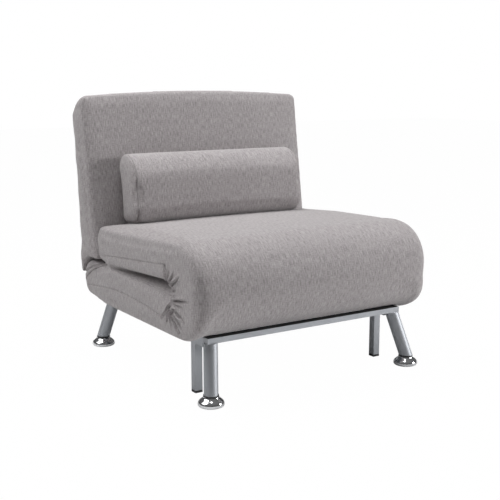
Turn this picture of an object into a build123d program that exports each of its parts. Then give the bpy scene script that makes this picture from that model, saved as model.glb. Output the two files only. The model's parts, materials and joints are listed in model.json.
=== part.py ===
"""Folding futon chair: steel frame, folding mattress, reclining back and a loose bolster pillow."""
import os
from math import cos, radians, sin, sqrt

from build123d import *

os.makedirs("parts", exist_ok=True)

# Driving dimensions in millimetres: X across, front towards -Y, Z up from the floor
width = 770.0
depth = 775.0
seat_split_height = 298.5
seat_thickness = 127.0
base_bottom_height = 163.5
back_lean = 9.0
back_length = 568.0
rail_top_height = 170.0
foot_inset = 51.0
front_foot_y = -352.5
rear_foot_y = 324.5
leg_lean_x = 23.5
leg_lean_y = 41.0
cover_thickness = 2.5
fit_gap = 0.5
rest_gap = 0.15

# Mattress heights and ends
half_width = width / 2
foot_spread_x = half_width - foot_inset
nose_y = -depth / 2
seat_bottom = seat_split_height + rest_gap
seat_top = seat_bottom + seat_thickness
base_top = seat_split_height - rest_gap
pivot_y = 282.5
pivot_z = (base_top + base_bottom_height) / 2
pivot_radius = base_top - pivot_z
seat_rear_y = pivot_y - 52.0
seat_rear_drop = 14.0
seat_rear_bulge = 14.0
nose_fullness = 0.265

# Frame sections
front_rail_depth = 28.0
front_rail_height = 15.0
front_rail_half_length = 327.0
front_rail_y = front_foot_y + leg_lean_y
front_rail_z = rail_top_height - front_rail_height / 2
front_rail_bottom = rail_top_height - front_rail_height
tube_wall = 2.0
side_rail_x = foot_spread_x - leg_lean_x
side_rail_width = 25.0
side_rail_height = 30.0
side_rail_front = front_rail_y + front_rail_depth / 2 + 5.5
side_rail_rear = pivot_y + 4.5
side_rail_bottom = rail_top_height - side_rail_height
side_rail_middle_z = rail_top_height - side_rail_height / 2
side_rail_inner = side_rail_x - side_rail_width / 2
runner_width = side_rail_width - 2 * tube_wall - 2 * fit_gap
runner_height = side_rail_height - 2 * tube_wall - 2 * fit_gap
runner_rear = side_rail_rear - 12.0
square_leg_size = 22.0
square_leg_y = -237.5
plug_height = 7.0
slat_width = 34.0
slat_thickness = 3.0
slat_count = 6
cloth_thickness = 1.0

# Legs and feet
leg_radius = 19.0
leg_wall = 1.6
foot_radius = 35.0
foot_height = 26.0
collar_height = 4.0
leg_foot_z = foot_height + collar_height
insert_height = 20.0
stud_radius = 4.0
nut_size = 13.0
nut_height = 6.0

# Recline hinge and backrest frame
plate_thickness = 4.0
plate_x = side_rail_inner - plate_thickness / 2
arm_x = plate_x - plate_thickness - fit_gap
upright_size = 20.0
upright_x = arm_x - plate_thickness / 2 - upright_size / 2
drum_radius = 27.0
drum_length = 14.0
pin_radius = 6.0
slot_inner = upright_x - upright_size / 2 - 4.0
slot_outer = side_rail_x + side_rail_width / 2 + 6.0
arm_reach = 150.0
frame_foot_v = 88.0
frame_top_v = 492.0
wire_radius = 2.0
spring_count = 4

# Backrest section, measured from the pivot: u to the rear, v up the back
back_front_u = -pivot_radius
back_rear_foot_u = 79.0
back_rear_top_u = 24.3
back_front_round = 22.0
back_rear_round = 50.0
back_foot_v = -12.0
back_foot_gap = 1.5

# Bolster pillow
pillow_length = 596.0
pillow_depth = 114.0
pillow_height = 206.0
pillow_lean = 8.0
pillow_y = 201.0
pillow_z = 516.25

# Side stations of the soft bodies: share of the half width, side inset, crown drop
side_stations = ((0.0, 0.0, 0.0), (0.55, 0.0, 2.0), (0.84, 2.0, 6.0), (0.94, 9.0, 10.0), (1.0, 30.0, 13.0))


def mirrored(stations):
    """Stations from the left side to the right side of a body."""
    left_half = [(-share, inset, drop) for share, inset, drop in reversed(stations[1:])]
    return left_half + list(stations)


def soft_body(sections):
    """Solid that runs straight from one side section to the next."""
    with BuildPart() as body:
        loft(sections, ruled=True)
    return body.part


def seat_section(share, inset, drop, skin):
    """Side view of the seat section at one place across its width."""
    low = seat_bottom + skin + 0.45 * inset
    high = seat_top - skin - drop - 0.45 * inset
    front = nose_y + skin + 0.9 * inset
    rear = seat_rear_y - skin - 0.5 * inset
    nose = high - low
    rear_high = high - seat_rear_drop
    rear_edge = rear - seat_rear_bulge
    tuck = 0.42 * nose
    rear_middle = low + tuck
    with BuildSketch(Plane.YZ.offset(share * (half_width - skin))) as section:
        with BuildLine():
            ThreePointArc(
                (front, low),
                (front + nose * (1 - sqrt(0.5)), low + nose * sqrt(0.5)),
                (front + nose, high),
            )
            ThreePointArc(
                (front + nose, high),
                ((front + nose + rear_edge) / 2, high - 0.22 * seat_rear_drop),
                (rear_edge, rear_high),
            )
            ThreePointArc(
                (rear_edge, rear_high),
                (rear - 0.25 * seat_rear_bulge, (rear_high + rear_middle) / 2),
                (rear, rear_middle),
            )
            ThreePointArc(
                (rear, rear_middle),
                (rear - tuck * (1 - sqrt(0.5)), rear_middle - tuck * sqrt(0.5)),
                (rear - tuck, low),
            )
            Line((rear - tuck, low), (front, low))
        make_face()
    return section.sketch


def base_section(share, inset, drop, skin):
    """Side view of the base section at one place across its width."""
    high = base_top - skin - 0.45 * inset
    low = base_bottom_height + skin + 0.45 * inset
    nose = high - low
    front = nose_y + skin + 0.9 * inset + 0.005 * nose
    middle = (high + low) / 2
    rear_radius = nose / 2
    diagonal = rear_radius * sqrt(0.5)
    with BuildSketch(Plane.YZ.offset(share * (half_width - skin))) as section:
        with BuildLine():
            ThreePointArc(
                (front, high),
                (front + nose * nose_fullness, low + nose * nose_fullness),
                (front + nose, low),
            )
            Line((front + nose, low), (pivot_y, low))
            ThreePointArc(
                (pivot_y, low),
                (pivot_y + diagonal, middle - diagonal),
                (pivot_y + rear_radius, middle),
            )
            ThreePointArc(
                (pivot_y + rear_radius, middle),
                (pivot_y + diagonal, middle + diagonal),
                (pivot_y, high),
            )
            Line((pivot_y, high), (front, high))
        make_face()
    return section.sketch


def on_back(u, v):
    """Place on the leaning back, u to the rear of the pivot and v up the back."""
    lean = radians(back_lean)
    return (pivot_y + u * cos(lean) + v * sin(lean), pivot_z - u * sin(lean) + v * cos(lean))


def back_section(share, inset, drop, skin):
    """Side view of the back section at one place across its width."""
    front = back_front_u + skin + 0.45 * inset
    foot = back_foot_v
    top = back_length - skin - drop - 1.1 * inset
    rear_foot = back_rear_foot_u - skin - 0.15 * inset
    rear_top = back_rear_top_u - skin - 0.35 * inset
    crest = front + back_front_round
    shoulder = top - back_rear_round
    with BuildSketch(Plane.YZ.offset(share * (half_width - skin))) as section:
        with BuildLine():
            Line(on_back(front, foot), on_back(front, top - back_front_round))
            ThreePointArc(
                on_back(front, top - back_front_round),
                on_back(front + back_front_round * (1 - sqrt(0.5)), top - back_front_round * (1 - sqrt(0.5))),
                on_back(crest, top),
            )
            ThreePointArc(
                on_back(crest, top),
                on_back(crest + (rear_top - crest) * sqrt(0.5), top - back_rear_round * (1 - sqrt(0.5))),
                on_back(rear_top, shoulder),
            )
            Line(on_back(rear_top, shoulder), on_back(rear_foot, foot))
            Line(on_back(rear_foot, foot), on_back(front, foot))
        make_face()
    return section.sketch


def pillow_section(share, inset, drop, skin):
    """Side view of the bolster at one place along its length."""
    half_depth = pillow_depth / 2 - skin - 0.5 * inset
    half_height = pillow_height / 2 - skin - 0.5 * drop - 0.5 * inset
    corner_y = 0.62 * half_depth
    corner_z = 0.62 * half_height
    middle = Plane.YZ.offset(share * (pillow_length / 2 - skin)).origin
    place = Plane(
        origin=(middle.X, pillow_y, pillow_z),
        x_dir=(0, cos(radians(pillow_lean)), -sin(radians(pillow_lean))),
        z_dir=(1, 0, 0),
    )
    bow_y = half_depth - 0.11 * half_depth
    bow_z = half_height - 0.05 * half_height
    turn_y = (corner_y + half_depth) / 2 + 0.05 * half_depth
    turn_z = (corner_z + half_height) / 2 + 0.05 * half_height
    with BuildSketch(place) as section:
        with BuildLine():
            for sign_y, sign_z in ((1, 1), (-1, -1)):
                ThreePointArc(
                    (sign_y * bow_y, -sign_z * corner_z),
                    (sign_y * half_depth, 0),
                    (sign_y * bow_y, sign_z * corner_z),
                )
                ThreePointArc(
                    (sign_y * bow_y, sign_z * corner_z),
                    (sign_y * turn_y * 0.93, sign_z * turn_z * 0.98),
                    (sign_y * corner_y, sign_z * bow_z),
                )
                ThreePointArc(
                    (sign_y * corner_y, sign_z * bow_z),
                    (0, sign_z * half_height),
                    (-sign_y * corner_y, sign_z * bow_z),
                )
                ThreePointArc(
                    (-sign_y * corner_y, sign_z * bow_z),
                    (-sign_y * turn_y * 0.93, sign_z * turn_z * 0.98),
                    (-sign_y * bow_y, sign_z * corner_z),
                )
        make_face()
    return section.sketch


def across(section, skin, stations=side_stations):
    """All sections of one soft body."""
    return [section(share, inset, drop, skin) for share, inset, drop in mirrored(stations)]


def block(low, high):
    """Plain box between two corners."""
    size = [b - a for a, b in zip(low, high)]
    middle = [(a + b) / 2 for a, b in zip(low, high)]
    with BuildPart(Plane(origin=middle)) as box:
        Box(*size)
    return box.part


def slots(low_y, high_y, low_z, high_z):
    """Hinge slots on both sides, between the two slot walls."""
    right = block((slot_inner, low_y, low_z), (slot_outer, high_y, high_z))
    return [right, mirror(right, about=Plane.YZ)]


def tube_along_y(x, z, outer_width, outer_height, wall, front, rear):
    """Rectangular tube that runs from front to rear."""
    outer = block((x - outer_width / 2, front, z - outer_height / 2),
                  (x + outer_width / 2, rear, z + outer_height / 2))
    bore = block((x - outer_width / 2 + wall, front, z - outer_height / 2 + wall),
                 (x + outer_width / 2 - wall, rear, z + outer_height / 2 - wall))
    return outer - bore


def tube_along_x(y, z, outer_depth, outer_height, wall, half_length):
    """Rectangular tube that runs across the chair."""
    outer = block((-half_length, y - outer_depth / 2, z - outer_height / 2),
                  (half_length, y + outer_depth / 2, z + outer_height / 2))
    bore = block((-half_length, y - outer_depth / 2 + wall, z - outer_height / 2 + wall),
                 (half_length, y + outer_depth / 2 - wall, z + outer_height / 2 - wall))
    return outer - bore


def leg_slice(side, end, radius, low_z, high_z):
    """Slice of a splayed round leg between two heights."""
    foot_y = front_foot_y if end < 0 else rear_foot_y
    foot = Vector(side * foot_spread_x, foot_y, leg_foot_z)
    rise = front_rail_bottom - leg_foot_z
    axis = Vector(-side * leg_lean_x, -end * leg_lean_y, rise)
    start = foot - axis * 0.5
    with BuildPart() as rod:
        with BuildSketch(Plane(origin=start, z_dir=axis)):
            Circle(radius)
        extrude(amount=2 * axis.length)
    return rod.part & block((-500, -500, low_z), (500, 500, high_z))


def leg_place(side, end, height):
    """Centre of a leg at one height."""
    foot_y = front_foot_y if end < 0 else rear_foot_y
    share = (height - leg_foot_z) / (front_rail_bottom - leg_foot_z)
    return (side * (foot_spread_x - share * leg_lean_x), foot_y - end * share * leg_lean_y)


def foot(side, end):
    """Bell-shaped foot, turned about its own axis."""
    place_x, place_y = leg_place(side, end, leg_foot_z)
    with BuildPart() as bell:
        with BuildSketch(Plane(origin=(place_x, place_y, 0), x_dir=(1, 0, 0), z_dir=(0, -1, 0))):
            with BuildLine():
                Polyline(
                    (0, 0),
                    (foot_radius - 3, 0),
                    (foot_radius, 0.12 * foot_height),
                    (foot_radius, 0.28 * foot_height),
                    (0.93 * foot_radius, 0.42 * foot_height),
                    (0.78 * foot_radius, 0.58 * foot_height),
                    (0.66 * foot_radius, 0.78 * foot_height),
                    (0.6 * foot_radius, foot_height),
                    (0, foot_height),
                    close=True,
                )
            make_face()
        revolve(axis=Axis((place_x, place_y, 0), (0, 0, 1)))
    return bell.part


def disc(x, y, z, radius, height):
    """Upright round disc or rod."""
    with BuildPart(Plane(origin=(x, y, z))) as rod:
        Cylinder(radius, height, align=(Align.CENTER, Align.CENTER, Align.MIN))
    return rod.part


def rod_along_x(x, y, z, radius, length):
    """Round rod across the chair, centred at one place."""
    with BuildPart(Plane(origin=(x, y, z), z_dir=(1, 0, 0))) as rod:
        Cylinder(radius, length)
    return rod.part


def leaning_block(low_x, high_x, low_u, high_u, low_v, high_v):
    """Box that leans with the back."""
    centre = on_back((low_u + high_u) / 2, (low_v + high_v) / 2)
    lean = radians(back_lean)
    place = Plane(
        origin=((low_x + high_x) / 2, centre[0], centre[1]),
        x_dir=(1, 0, 0),
        z_dir=(0, sin(lean), cos(lean)),
    )
    with BuildPart(place) as box:
        Box(high_x - low_x, high_u - low_u, high_v - low_v)
    return box.part


def save(part, name):
    """Label one piece and write it."""
    part.label = name
    export_step(part, "parts/" + name + ".step")


sides = (("left", -1), ("right", 1))
rivet_places = (pivot_y - 80, pivot_y - 20)

# Base frame: side rails, cross tubes, slats and the square legs
for side_name, side in sides:
    with BuildPart() as side_rail:
        add(tube_along_y(side * side_rail_x, side_rail_middle_z, side_rail_width, side_rail_height,
                         tube_wall, side_rail_front, side_rail_rear))
        rear_hole_x, rear_hole_y = leg_place(side, 1, side_rail_bottom)
        add(disc(rear_hole_x, rear_hole_y, side_rail_bottom - 1, stud_radius + 0.3, tube_wall + 2),
            mode=Mode.SUBTRACT)
        for rivet_y in rivet_places:
            add(rod_along_x(side * side_rail_inner, rivet_y, side_rail_middle_z, 3.2, 2 * tube_wall + 1),
                mode=Mode.SUBTRACT)
    save(side_rail.part, "base_side_rail_" + side_name)

    with BuildPart() as square_leg:
        add(block((side * side_rail_x - square_leg_size / 2, square_leg_y - square_leg_size / 2, plug_height),
                  (side * side_rail_x + square_leg_size / 2, square_leg_y + square_leg_size / 2,
                   side_rail_bottom)))
        add(block((side * side_rail_x - square_leg_size / 2 + 1.5, square_leg_y - square_leg_size / 2 + 1.5,
                   plug_height),
                  (side * side_rail_x + square_leg_size / 2 - 1.5, square_leg_y + square_leg_size / 2 - 1.5,
                   side_rail_bottom)),
            mode=Mode.SUBTRACT)
    save(square_leg.part, "square_leg_" + side_name)

cross_tube_places = (("front", -205.0), ("middle", -20.0), ("rear", 165.0))
for tube_name, tube_y in cross_tube_places:
    with BuildPart() as cross_tube:
        add(tube_along_x(tube_y, rail_top_height - 12.5, 25.0, 25.0, tube_wall, side_rail_inner))
    save(cross_tube.part, "base_cross_tube_" + tube_name)

with BuildPart() as slats:
    first_slat = side_rail_front + 30.0
    slat_step = (225.0 - first_slat) / (slat_count - 1)
    for index in range(slat_count):
        slat_y = first_slat + index * slat_step
        add(block((-side_rail_x, slat_y - slat_width / 2, rail_top_height),
                  (side_rail_x, slat_y + slat_width / 2, rail_top_height + slat_thickness)))
save(slats.part, "base_slats")

with BuildPart() as plugs:
    for side_name, side in sides:
        plug_inside = square_leg_size / 2 - 1.7
        add(block((side * side_rail_x - square_leg_size / 2, square_leg_y - square_leg_size / 2, 0.5),
                  (side * side_rail_x + square_leg_size / 2, square_leg_y + square_leg_size / 2, plug_height)))
        add(block((side * side_rail_x - plug_inside, square_leg_y - plug_inside, plug_height),
                  (side * side_rail_x + plug_inside, square_leg_y + plug_inside, plug_height + 14)))
save(plugs.part, "square_leg_plugs")

# Pull-out frame: front rail, runners and their end glides
with BuildPart() as front_rail:
    add(tube_along_x(front_rail_y, front_rail_z, front_rail_depth, front_rail_height, tube_wall,
                     front_rail_half_length))
    for side_name, side in sides:
        hole_x, hole_y = leg_place(side, -1, front_rail_bottom)
        add(disc(hole_x, hole_y, front_rail_bottom - 1, stud_radius + 0.3, tube_wall + 2), mode=Mode.SUBTRACT)
save(front_rail.part, "front_rail")

with BuildPart() as rail_caps:
    for side_name, side in sides:
        inner_x = side * (front_rail_half_length - 8)
        outer_x = side * front_rail_half_length
        add(block((min(inner_x, outer_x), front_rail_y - front_rail_depth / 2 + tube_wall + 0.2,
                   front_rail_bottom + tube_wall + 0.2),
                  (max(inner_x, outer_x), front_rail_y + front_rail_depth / 2 - tube_wall - 0.2,
                   rail_top_height - tube_wall - 0.2)))
save(rail_caps.part, "front_rail_caps")

for side_name, side in sides:
    with BuildPart() as runner:
        add(tube_along_y(side * side_rail_x, side_rail_middle_z, runner_width, runner_height, 1.5,
                         front_rail_y + front_rail_depth / 2, runner_rear))
        add(leg_slice(side, -1, leg_radius + 0.4, leg_foot_z, front_rail_bottom + 0.4), mode=Mode.SUBTRACT)
    save(runner.part, "runner_" + side_name)

with BuildPart() as glides:
    for side_name, side in sides:
        add(block((side * side_rail_x - runner_width / 2, runner_rear, side_rail_middle_z - runner_height / 2),
                  (side * side_rail_x + runner_width / 2, runner_rear + 6, side_rail_middle_z + runner_height / 2)))
        add(block((side * side_rail_x - runner_width / 2 + 1.7, runner_rear - 14,
                   side_rail_middle_z - runner_height / 2 + 1.7),
                  (side * side_rail_x + runner_width / 2 - 1.7, runner_rear,
                   side_rail_middle_z + runner_height / 2 - 1.7)))
save(glides.part, "runner_glides")

# Round legs, their inserts, studs, nuts, dark collars and chrome feet
for end_name, end, leg_top in (("front", -1, front_rail_bottom), ("rear", 1, side_rail_bottom)):
    for side_name, side in sides:
        with BuildPart() as leg:
            add(leg_slice(side, end, leg_radius, leg_foot_z, leg_top))
            add(leg_slice(side, end, leg_radius - leg_wall, leg_foot_z - 5, leg_top + 5), mode=Mode.SUBTRACT)
        save(leg.part, end_name + "_leg_" + side_name)

        with BuildPart() as chrome_foot:
            add(foot(side, end))
        save(chrome_foot.part, end_name + "_foot_" + side_name)

    with BuildPart() as collars:
        for side_name, side in sides:
            collar_x, collar_y = leg_place(side, end, leg_foot_z)
            add(disc(collar_x, collar_y, foot_height, leg_radius + 1.5, collar_height))
            add(leg_slice(side, end, leg_radius - leg_wall - 0.2, leg_foot_z, leg_foot_z + 12))
    save(collars.part, end_name + "_foot_collars")

    with BuildPart() as inserts:
        for side_name, side in sides:
            stud_x, stud_y = leg_place(side, end, leg_top)
            add(leg_slice(side, end, leg_radius - leg_wall - 0.1, leg_top - insert_height, leg_top))
            add(disc(stud_x, stud_y, leg_top, stud_radius, tube_wall + nut_height + 1.5))
    save(inserts.part, end_name + "_leg_inserts")

    with BuildPart() as nuts:
        for side_name, side in sides:
            stud_x, stud_y = leg_place(side, end, leg_top)
            with BuildSketch(Plane(origin=(stud_x, stud_y, leg_top + tube_wall))):
                RegularPolygon(nut_size / 2, 6, major_radius=False)
                Circle(stud_radius + 0.1, mode=Mode.SUBTRACT)
            extrude(amount=nut_height)
    save(nuts.part, end_name + "_leg_nuts")

# Recline hinges: base plate and ratchet drum on the frame, arm and pin on the back
for side_name, side in sides:
    plate_low_x = side * plate_x - plate_thickness / 2
    with BuildPart() as plate:
        with BuildSketch(Plane.YZ.offset(plate_low_x)):
            with BuildLine():
                Polyline((pivot_y - 92, side_rail_bottom + 4), (pivot_y, side_rail_bottom + 4),
                         (pivot_y + 22, pivot_z), (pivot_y - 22, pivot_z), (pivot_y - 30, rail_top_height),
                         (pivot_y - 92, rail_top_height), (pivot_y - 92, side_rail_bottom + 4))
            make_face()
            with Locations((pivot_y, pivot_z)):
                Circle(22)
                Circle(pin_radius + 0.2, mode=Mode.SUBTRACT)
            with Locations(*[(rivet_y, side_rail_middle_z) for rivet_y in rivet_places]):
                Circle(3.2, mode=Mode.SUBTRACT)
        extrude(amount=plate_thickness)
    save(plate.part, "recline_plate_" + side_name)

    with BuildPart() as drum:
        add(rod_along_x(side * (side_rail_inner + drum_length / 2), pivot_y, pivot_z, drum_radius, drum_length))
        add(rod_along_x(side * (side_rail_inner + drum_length / 2), pivot_y, pivot_z, pin_radius + 0.2,
                        drum_length + 2), mode=Mode.SUBTRACT)
    save(drum.part, "ratchet_drum_" + side_name)

    with BuildPart() as arm:
        add(leaning_block(side * arm_x - plate_thickness / 2, side * arm_x + plate_thickness / 2,
                          -14, 14, 0, arm_reach))
        add(rod_along_x(side * arm_x, pivot_y, pivot_z, 20, plate_thickness))
        add(rod_along_x(side * arm_x, pivot_y, pivot_z, pin_radius, plate_thickness + 2), mode=Mode.SUBTRACT)
    save(arm.part, "recline_arm_" + side_name)

    with BuildPart() as upright:
        add(leaning_block(side * upright_x - upright_size / 2, side * upright_x + upright_size / 2,
                          -upright_size / 2, upright_size / 2, frame_foot_v, frame_top_v))
        add(leaning_block(side * upright_x - upright_size / 2 + 1.5, side * upright_x + upright_size / 2 - 1.5,
                          1.5 - upright_size / 2, upright_size / 2 - 1.5, frame_foot_v, frame_top_v),
            mode=Mode.SUBTRACT)
    save(upright.part, "back_upright_" + side_name)

with BuildPart() as pins:
    for side_name, side in sides:
        pin_inner = arm_x - plate_thickness / 2 - 5
        pin_outer = side_rail_inner + drum_length + 4
        add(rod_along_x(side * (pin_inner + pin_outer) / 2, pivot_y, pivot_z, pin_radius, pin_outer - pin_inner))
        add(rod_along_x(side * (pin_inner - 2), pivot_y, pivot_z, 10, 4))
        add(rod_along_x(side * (pin_outer - 1.5), pivot_y, pivot_z, 10, 3))
save(pins.part, "recline_pins")

with BuildPart() as plate_bolts:
    for side_name, side in sides:
        for bolt_y in rivet_places:
            bolt_middle = side * (side_rail_inner - plate_thickness / 2 + 0.8)
            add(rod_along_x(bolt_middle, bolt_y, side_rail_middle_z, 3.0, plate_thickness + 1.6))
            add(rod_along_x(side * (side_rail_inner - plate_thickness - 1.5), bolt_y, side_rail_middle_z, 5.5, 3))
save(plate_bolts.part, "recline_plate_rivets")

# Backrest frame: cross tubes and zigzag springs between the uprights
for tube_name, tube_v in (("bottom", frame_foot_v + 10), ("top", frame_top_v - 10)):
    with BuildPart() as back_tube:
        inner = upright_x - upright_size / 2
        add(leaning_block(-inner, inner, -10, 10, tube_v - 10, tube_v + 10))
        add(leaning_block(-inner, inner, -8.5, 8.5, tube_v - 8.5, tube_v + 8.5), mode=Mode.SUBTRACT)
    save(back_tube.part, "back_cross_tube_" + tube_name)

with BuildPart() as springs:
    spring_low = frame_foot_v + 20
    spring_high = frame_top_v - 20
    rows = 9
    row_step = (spring_high - spring_low) / rows
    for index in range(spring_count):
        spring_x = -180 + 120 * index
        for row in range(rows):
            row_v = spring_low + (row + 0.5) * row_step
            bar_side = 1 if row % 2 else -1
            add(leaning_block(spring_x - 26, spring_x + 26, -wire_radius, wire_radius,
                              row_v - wire_radius, row_v + wire_radius))
            link_x = spring_x + bar_side * 24
            if row < rows - 1:
                add(leaning_block(link_x - wire_radius, link_x + wire_radius, -wire_radius, wire_radius,
                                  row_v, row_v + row_step))
        for end_v, end_high in ((spring_low, spring_low + 0.5 * row_step),
                                (spring_high - 0.5 * row_step, spring_high)):
            add(leaning_block(spring_x - wire_radius, spring_x + wire_radius, -wire_radius, wire_radius,
                              end_v, end_high))
save(springs.part, "back_springs")

# Base section: cover, foam and black cloth above the slats
cloth_z = rail_top_height + slat_thickness + 2 * rest_gap
foam_bottom = cloth_z + cloth_thickness + 2 * rest_gap
frame_recess = block((-slot_outer, side_rail_front - 60, 0), (slot_outer, pivot_y + 150, foam_bottom))
base_slots = slots(pivot_y - 34, pivot_y + 120, 0, 500)
base_foot_recess = slots(pivot_y - 96, pivot_y, 0, rail_top_height + 14)


def cut_for_frame(body):
    """Base section cut clear of the frame and the hinges."""
    cut = body - frame_recess
    for slot in base_slots + base_foot_recess:
        cut = cut - slot
    return cut


with BuildPart() as base_cover:
    add(cut_for_frame(soft_body(across(base_section, 0)) - soft_body(across(base_section, cover_thickness))))
save(base_cover.part, "base_cover")

with BuildPart() as base_foam:
    add(cut_for_frame(soft_body(across(base_section, cover_thickness + 0.3))))
save(base_foam.part, "base_foam")

with BuildPart() as base_cloth:
    add(block((-slot_inner + 4, side_rail_front + 8, cloth_z),
              (slot_inner - 4, pivot_y - 100, cloth_z + cloth_thickness)))
save(base_cloth.part, "base_cloth")

# Seat section: cover, two foam layers and the board between them
board_low = seat_bottom + 48.0
board_thickness = 12.0
with BuildPart() as seat_cover:
    add(soft_body(across(seat_section, 0)) - soft_body(across(seat_section, cover_thickness)))
save(seat_cover.part, "seat_cover")

seat_core = soft_body(across(seat_section, cover_thickness + 0.3))
seat_board_block = block((-half_width + 60, nose_y + 110, board_low),
                         (half_width - 60, seat_rear_y - 70, board_low + board_thickness))
with BuildPart() as seat_board:
    add(seat_board_block)
    fillet(seat_board.edges().filter_by(Axis.Z), 20)
save(seat_board.part, "seat_board")

with BuildPart() as seat_foam_lower:
    add(seat_core & block((-500, -500, 0), (500, 500, board_low + board_thickness)))
    add(seat_board_block, mode=Mode.SUBTRACT)
save(seat_foam_lower.part, "seat_foam_lower")

with BuildPart() as seat_foam_upper:
    add(seat_core & block((-500, -500, board_low + board_thickness + 0.3), (500, 500, 600)))
save(seat_foam_upper.part, "seat_foam_upper")

# Back section: cover, front foam around the frame and rear foam
back_foot_cut = block((-500, -500, 0), (500, pivot_y, base_top + back_foot_gap))
back_lip_cut = block((-500, -500, 0), (500, 500, pivot_z + 6))
back_round_cut = rod_along_x(0, pivot_y, pivot_z, pivot_radius + back_foot_gap, 2 * half_width + 40)


def cut_for_base(body):
    """Back section cut clear of the base section's round rear end and the hinges."""
    cut = body - back_foot_cut - back_lip_cut - back_round_cut
    for side_name, side in sides:
        low_x, high_x = sorted((side * slot_inner, side * slot_outer))
        cut = cut - leaning_block(low_x, high_x, -36, 36, -40, 98)
        cut = cut - leaning_block(low_x, high_x, -18, 18, 90, arm_reach + 8)
    return cut


with BuildPart() as back_cover:
    add(cut_for_base(soft_body(across(back_section, 0)) - soft_body(across(back_section, cover_thickness))))
save(back_cover.part, "back_cover")

back_core = cut_for_base(soft_body(across(back_section, cover_thickness + 0.3)))
frame_pocket = leaning_block(-slot_inner - 25, slot_inner + 25, -10.5, 12, frame_foot_v - 1, frame_top_v + 1)
with BuildPart() as back_foam_front:
    add(back_core & leaning_block(-500, 500, -200, 10.5, -100, 700))
    add(frame_pocket, mode=Mode.SUBTRACT)
save(back_foam_front.part, "back_foam_front")

with BuildPart() as back_foam_rear:
    add(back_core & leaning_block(-500, 500, 10.8, 200, -100, 700))
save(back_foam_rear.part, "back_foam_rear")

# Bolster pillow: cover and filling
pillow_stations = ((0.0, 0.0, 0.0), (0.6, 0.0, 4.0), (0.9, 4.0, 9.0), (0.975, 14.0, 12.0), (1.0, 32.0, 14.0))
with BuildPart() as pillow_cover:
    add(soft_body(across(pillow_section, 0, pillow_stations))
        - soft_body(across(pillow_section, cover_thickness, pillow_stations)))
save(pillow_cover.part, "pillow_cover")

with BuildPart() as pillow_filling:
    add(soft_body(across(pillow_section, cover_thickness + 0.3, pillow_stations)))
save(pillow_filling.part, "pillow_filling")
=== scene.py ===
"""Looks of a folding futon chair: padded sections, seams and finishes around its steel frame, in metres."""
import json
from math import asin, copysign, cos, pi, radians, sin, sqrt

import bmesh
import bpy
import numpy as np
from mathutils import Matrix, Vector
from mathutils.bvhtree import BVHTree


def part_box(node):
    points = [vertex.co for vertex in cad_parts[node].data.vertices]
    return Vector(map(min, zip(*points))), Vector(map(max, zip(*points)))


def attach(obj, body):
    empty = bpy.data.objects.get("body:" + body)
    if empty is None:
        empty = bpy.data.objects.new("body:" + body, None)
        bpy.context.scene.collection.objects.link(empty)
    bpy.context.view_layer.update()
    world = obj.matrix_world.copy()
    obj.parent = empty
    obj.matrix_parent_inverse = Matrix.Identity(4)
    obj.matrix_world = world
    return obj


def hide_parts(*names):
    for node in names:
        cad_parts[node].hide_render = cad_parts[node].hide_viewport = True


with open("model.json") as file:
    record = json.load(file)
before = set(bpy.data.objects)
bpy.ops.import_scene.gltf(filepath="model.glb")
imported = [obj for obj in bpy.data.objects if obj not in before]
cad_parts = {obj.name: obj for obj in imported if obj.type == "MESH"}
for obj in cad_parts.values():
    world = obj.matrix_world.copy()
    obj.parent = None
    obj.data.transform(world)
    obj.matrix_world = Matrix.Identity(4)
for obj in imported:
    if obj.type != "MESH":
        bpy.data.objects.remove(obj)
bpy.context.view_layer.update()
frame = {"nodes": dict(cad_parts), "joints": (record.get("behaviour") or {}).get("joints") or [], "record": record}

# Places read from the frame
seat_low, seat_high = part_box("seat_cover")
base_low, base_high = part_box("base_cover")
back_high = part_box("back_cover")[1]
pillow_low, pillow_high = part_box("pillow_cover")
rail_low, rail_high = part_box("front_rail")
cloth_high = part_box("base_cloth")[1]
joints = {joint["name"]: joint for joint in frame["joints"]}
pivot = Vector(joints["back_recline"]["pos_m"])
half_width = seat_high.x
nose_y = seat_low.y
split_z = (seat_low.z + base_high.z) / 2
base_radius = base_high.z - pivot.z

# Sizes of the padding
pad_slack = 0.0015
nose_slack = 0.0020
pad_half = half_width - pad_slack
pad_front = nose_y + nose_slack
back_lean = radians(9)
back_length = 0.571
back_rear_foot = 0.0775
back_rear_waist = 0.050
back_overhang = 0.012
back_half = half_width + back_overhang
back_foot_shift = 0.001
back_rear_top = 0.0180
back_arch = 0.015
back_waist_height = 0.12
back_lip_height = 0.024
back_front_round = 0.014
back_crest_depth = 0.055
back_crest_height = 0.045
back_crest_drop = 0.048
back_crest_power = 1.4
seat_rear_drop = 0.012
seat_rear_reach = 0.026
seat_rear_round = 0.075
seat_rear_middle = 0.32
seat_corner_back = 0.006
seat_rim_fade = 0.7
base_flat_end = 0.15
base_roll_end = 0.05
sag_end_y = 0.19
end_radius = 0.057
end_reach = 0.064
end_limit = 0.064
lip_radius = 0.0690
gather_lift = 0.012
pillow_lean = radians(8)
pillow_section = Vector((0.118, 0.206))
pillow_half = 0.2985
pillow_shift = 0.005
pillow_sink = 0.013
pillow_slack = 0.001
pillow_arch = 0.003
pillow_foot_round = (0.040, 0.045)
pillow_front_round = (0.075, 0.090)
pillow_rear_round = 0.045
pillow_rear_foot_round = 0.024
fold_gap = 0.00015
fold_inset = 0.0005
gather_end_y = -0.232
seat_crown = 0.004
nose_power = 2.5
end_power = 2.5
wrap_gap = 0.0082
wrap_slack = 0.001
lip_rise = 0.006

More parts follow.
